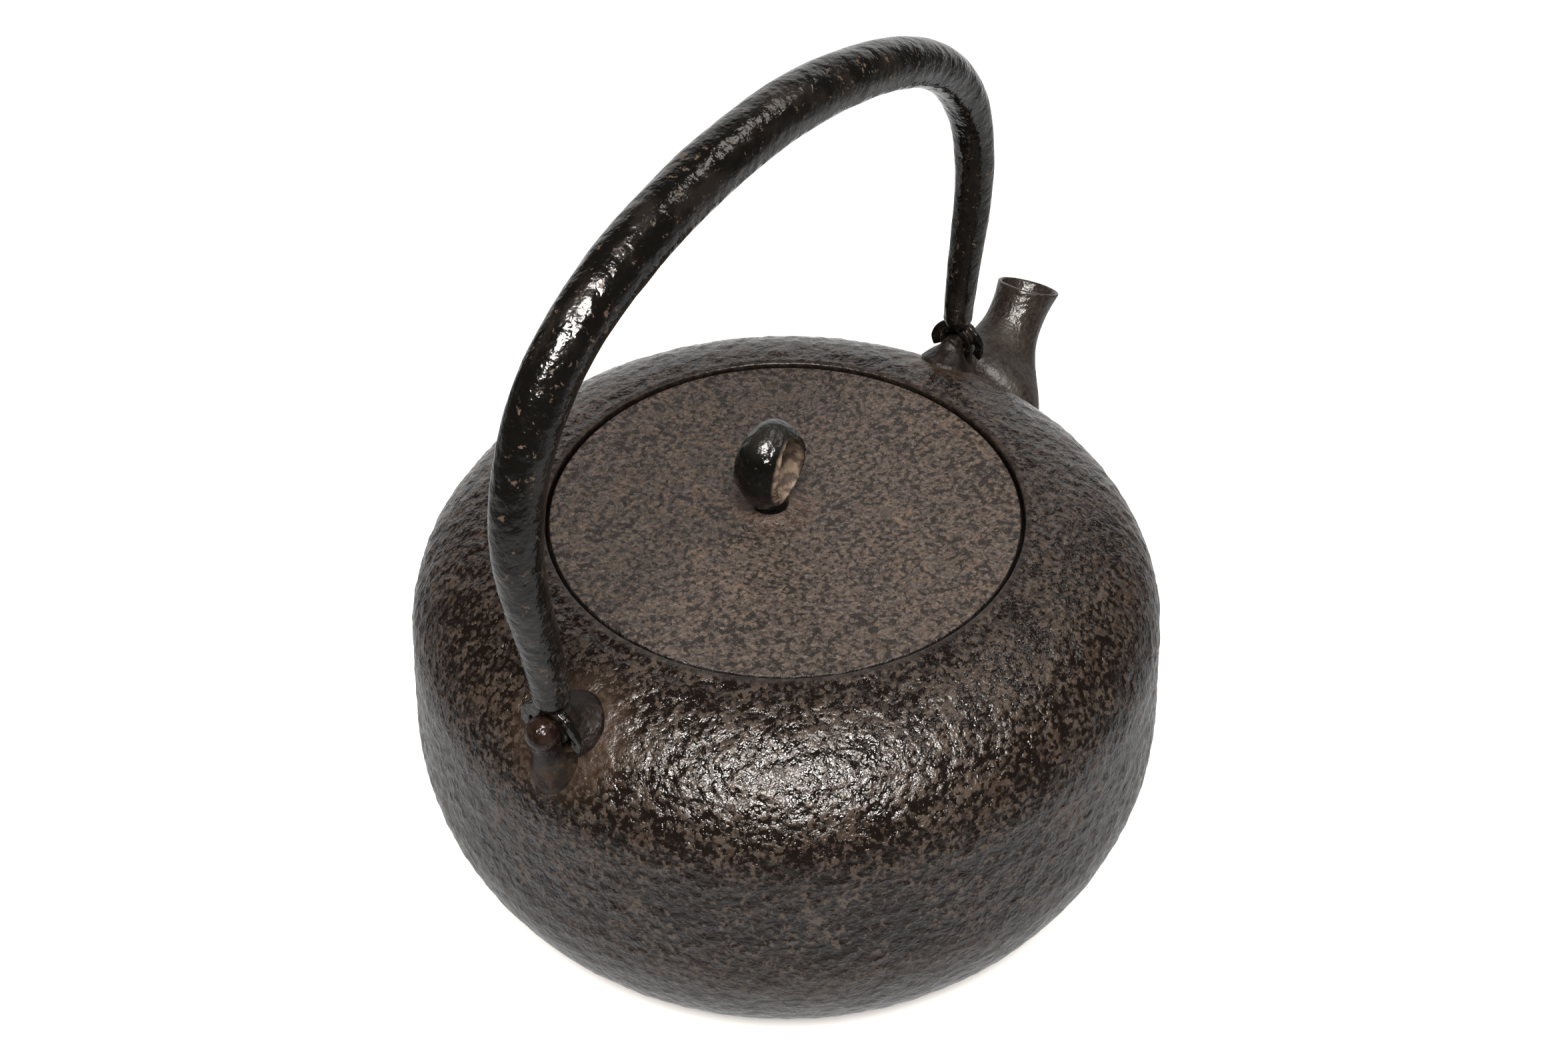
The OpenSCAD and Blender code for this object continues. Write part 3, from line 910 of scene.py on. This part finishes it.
def make_handle(material):
    points, faces = handle_tube()
    obj = make_object("handle_tube", points, faces)
    ends = smooth_step(points[:, 2], arch_h, arch_h + 6)
    dents = 0.17 * fractal(points, 13, 2) + 0.06 * fractal(points, 4.0, 2, offset=5.0)
    push_out(obj, dents * ends)
    hand_over(obj, "handle", ["handle_shell"], material)


def crescent():
    """Closed strip outline: out along the wings' outer edge and back along the inner one."""
    turn = np.radians(np.linspace(-31, 211, 61))
    drop = WING_LOW * np.sin(turn)
    edge = np.minimum(WING_REACH, -drop + np.sqrt(drop ** 2 + WING_CURVE ** 2 - WING_LOW ** 2))
    below = smooth_step(-np.sin(turn), -0.25, 0.1)
    inner = 3.4 + 1.9 * below
    directions = np.stack([np.cos(turn), np.sin(turn)], 1)
    return directions * edge[:, None], directions * inner[:, None]


def crescent_plate(x_low, x_high):
    """The crescent as a closed strip of boxes between its outer and inner edge."""
    outer, inner = crescent()
    count = len(outer)
    loops = [(outer, x_low), (outer, x_high), (inner, x_high), (inner, x_low)]
    points = np.array([[x, y, pivot_h + z] for loop, x in loops for y, z in loop])
    faces = []
    for i in range(count - 1):
        for k in range(4):
            a, b = k * count, (k + 1) % 4 * count
            faces.append([a + i, a + i + 1, b + i + 1, b + i])
    faces.append([0, count, 2 * count, 3 * count])
    faces.append([count - 1, 4 * count - 1, 3 * count - 1, 2 * count - 1])
    return points, faces


def hook_shank():
    """The bar that widens from the eye to the handle's tube and ends in a tang inside it."""
    tang_h = arch_h - pivot_h
    neck = [[0, 3.6], [1.7, 3.6], [2.5, 4.6], [3.2, 5.6], [LEG_R, 6.9]]
    tang = [[LEG_R + 0.05, tang_h + 0.6], [LEG_R - 0.6, tang_h + 1.5], [0, tang_h + 1.8]]
    points, faces = lathe(neck + tang, 48, (LEG_X, 0))
    return points + [0, 0, pivot_h], faces


def make_hook(name, side, material):
    eye = eye_plate(EYE_IN + SIDE_GAP, EYE_OUT - SIDE_GAP, EYE_R, EYE_HOLE_R)
    wings = crescent_plate(WING_IN, EYE_OUT - SIDE_GAP)
    obj = forge(name, [eye, wings, hook_shank()], 0.22, 4)
    points = points_of(obj)
    collar = smooth_step(arch_h - points[:, 2], 0.5, 3)
    push_out(obj, 0.08 * fractal(points, 3.5, 2) * collar)
    if side < 0:
        mirror_x(obj)
    hand_over(obj, "handle", [name.replace("_forging", "")], material)


# ---------------------------------------------------------------- stage, light and camera

FLOOR_HALF = 4000
WALL_R, WALL_H = 3900, 2500
LAMP_COLOUR = (1.0, 0.95, 0.90)
# Grey of the room by height, from straight down at -1 to straight up at 1.
ROOM_LIGHT = ((-1.0, 0.7757), (-0.55, 0.6206), (-0.2, 0.1551), (0.05, 0.0548), (1.0, 0.0411))
FAR_WALL = (0.82, 0.57, 0.0)                     # direction of the bright wall
FAR_WALL_GLOW = 0.85
CAMERA_AT = (-0.2045, -0.1422, 0.3018)
CAMERA_AIM = (0.0307, 0.0217, 0.0500)
CAMERA_ROLL = -0.5                               # degrees
CAMERA_LENS = 33.34


def make_floor():
    """Pale paper, with a faint glow of its own away from the kettle so that it stays even.
    Glossy surfaces look past it at the world, where only what lies near the kettle is bright."""
    corners = np.array([[-1, -1, 0], [1, -1, 0], [1, 1, 0], [-1, 1, 0]])
    floor = make_object("floor", corners * FLOOR_HALF, [[0, 1, 2, 3]])
    p = Paint("floor", Roughness=0.7, IOR=1.3, Emission_Color=(1, 1, 1, 1))
    shade = p.fade(p.lumps(400, detail=2), 0.3, 0.7)
    glow = p.fade_mm(p.axis_radius(), 130, 1300)
    p.feed(p.shader.inputs["Emission Strength"], glow)
    floor.data.materials.append(p.finish(p.blend(shade, (0.84, 0.84, 0.84), (0.86, 0.86, 0.86))))
    floor.visible_glossy = False


def make_backdrop():
    """A pale wall all round, far off, for the camera alone."""
    rows = resample([[WALL_R, -5], [WALL_R, WALL_H]], 500)
    wall = make_object("backdrop", *lathe(rows, 96))
    p = Paint("backdrop", Roughness=0.9, Emission_Color=(1, 1, 1, 1))
    glow = p.fade_mm(p.height(), 0, WALL_H, 1.0, 0.9)
    p.feed(p.shader.inputs["Emission Strength"], glow)
    wall.data.materials.append(p.finish())
    wall.visible_glossy = False
    wall.visible_diffuse = False
    wall.visible_shadow = False


def make_light(name, direction, distance, size, power, aim):
    """A soft rectangular lamp at a distance in metres from the aim, facing it.
    The direction is its azimuth from -Y and its elevation, in degrees."""
    data = bpy.data.lights.new(name, "AREA")
    data.shape = "RECTANGLE"
    data.size, data.size_y = size
    data.energy = power
    data.color = LAMP_COLOUR
    lamp = bpy.data.objects.new(name, data)
    azimuth, elevation = (math.radians(angle) for angle in direction)
    back = Vector((math.sin(azimuth) * math.cos(elevation), -math.cos(azimuth) * math.cos(elevation),
                   math.sin(elevation)))
    lamp.location = Vector(aim) + back * distance
    lamp.rotation_euler = back.to_track_quat("Z", "Y").to_euler()
    bpy.context.scene.collection.objects.link(lamp)
    return lamp


def room_grey(tree, place):
    """Brightness of the room by height: low down it is lit by the paper, higher up it is dim."""
    split = tree.nodes.new("ShaderNodeSeparateXYZ")
    tree.links.new(place, split.inputs[0])
    level = tree.nodes.new("ShaderNodeMapRange")
    tree.links.new(split.outputs["Z"], level.inputs["Value"])
    level.inputs["From Min"].default_value = -1
    ramp = tree.nodes.new("ShaderNodeValToRGB")
    tree.links.new(level.outputs["Result"], ramp.inputs[0])
    stops = ramp.color_ramp.elements
    while len(stops) < len(ROOM_LIGHT):
        stops.new(0.5)
    for stop, (height, grey) in zip(stops, ROOM_LIGHT):
        stop.position = (height + 1) / 2
        stop.color = (grey, grey, grey, 1)
    return ramp.outputs["Color"]


def far_wall_glow(tree, place):
    """Brightness of the pale wall behind the kettle, which fades out to either side."""
    ahead = tree.nodes.new("ShaderNodeVectorMath")
    ahead.operation = "DOT_PRODUCT"
    tree.links.new(place, ahead.inputs[0])
    ahead.inputs[1].default_value = FAR_WALL
    wall = tree.nodes.new("ShaderNodeMapRange")
    wall.interpolation_type = "SMOOTHSTEP"
    tree.links.new(ahead.outputs["Value"], wall.inputs["Value"])
    wall.inputs["From Min"].default_value = 0.62
    wall.inputs["From Max"].default_value = 0.95
    wall.inputs["To Max"].default_value = FAR_WALL_GLOW
    return wall.outputs["Result"]


def make_world():
    """A neutral grey room. The Math node adds its two brightnesses as single numbers."""
    world = bpy.data.worlds.new("studio")
    world.use_nodes = True
    tree = world.node_tree
    place = tree.nodes.new("ShaderNodeTexCoord").outputs["Generated"]
    both = tree.nodes.new("ShaderNodeMath")
    tree.links.new(room_grey(tree, place), both.inputs[0])
    tree.links.new(far_wall_glow(tree, place), both.inputs[1])
    tree.links.new(both.outputs[0], tree.nodes["Background"].inputs["Color"])
    bpy.context.scene.world = world


def make_camera():
    data = bpy.data.cameras.new("camera")
    data.sensor_width = 36
    data.lens = CAMERA_LENS
    data.clip_start = 0.01
    camera = bpy.data.objects.new("camera", data)
    camera.location = CAMERA_AT
    ahead = Vector(CAMERA_AIM) - camera.location
    roll = Quaternion((0, 0, 1), math.radians(CAMERA_ROLL))
    camera.rotation_mode = "QUATERNION"
    camera.rotation_quaternion = ahead.to_track_quat("-Z", "Y") @ roll
    bpy.context.scene.collection.objects.link(camera)
    bpy.context.scene.camera = camera


iron = handle_paint()
lug_iron = lug_paint()
knob_iron = knob_paint()
make_body(cast_body_paint())
make_spout(spout_paint())
make_lug("front_lug_casting", 1, lug_iron)
make_lug("rear_lug_casting", -1, lug_iron)
make_lid(cast_lid_paint())
make_knob(knob_iron)
make_washer(knob_iron)
make_handle(iron)
make_hook("front_hook_forging", 1, iron)
make_hook("rear_hook_forging", -1, iron)

make_floor()
make_backdrop()
make_world()
kettle_middle = (0, 0, rim_h / 2 * MM)
make_light("overhead_softbox", (-56, 60), 1.3, (0.62, 0.40), 40, kettle_middle)
make_light("side_fill", (57, 55), 1.3, (0.4, 0.4), 2.5, kettle_middle)
make_light("ceiling_bounce", (0, 90), 1.6, (2.2, 2.2), 6, kettle_middle).visible_glossy = False
make_camera()
bpy.context.scene.view_settings.view_transform = "Standard"
